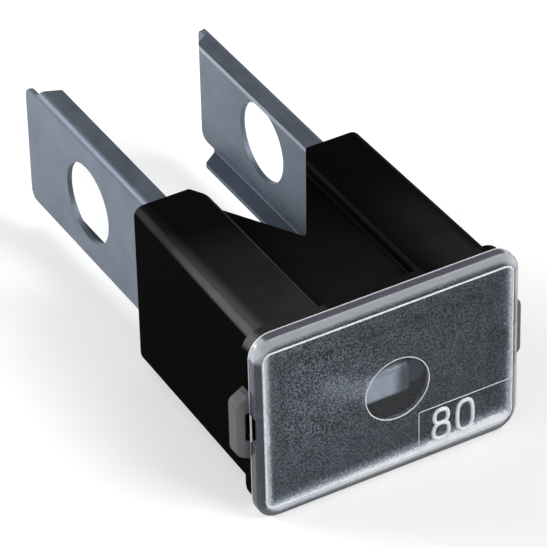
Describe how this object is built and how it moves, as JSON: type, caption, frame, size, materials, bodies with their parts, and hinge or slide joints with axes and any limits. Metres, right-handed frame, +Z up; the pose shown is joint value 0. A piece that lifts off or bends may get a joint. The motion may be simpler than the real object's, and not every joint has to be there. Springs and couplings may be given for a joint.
{
  "type": "bolt down strip fuse",
  "caption": "High current fuse with a black moulded housing, two straight channel blades with bolt holes, and a clear snap cover with a round lens.",
  "frame": {"origin": "middle of the bounding box's bottom", "axes": "+Y from the window to the blade ends, +X to the right seen from the window, +Z up"},
  "size_m": [0.0326, 0.0562, 0.022],
  "materials": {
    "black_plastic": "satin black moulded thermoplastic",
    "plated_metal": "satin tin plating on a copper alloy sheet",
    "tin": "dull cast tin",
    "clear_plastic": "clear polycarbonate, frosted face with a polished lens"
  },
  "bodies": {
    "root": {"housing": "black_plastic", "fuse_element": "plated_metal", "tin_slug": "tin", "clear_cover": "clear_plastic"}
  },
  "joints": []
}
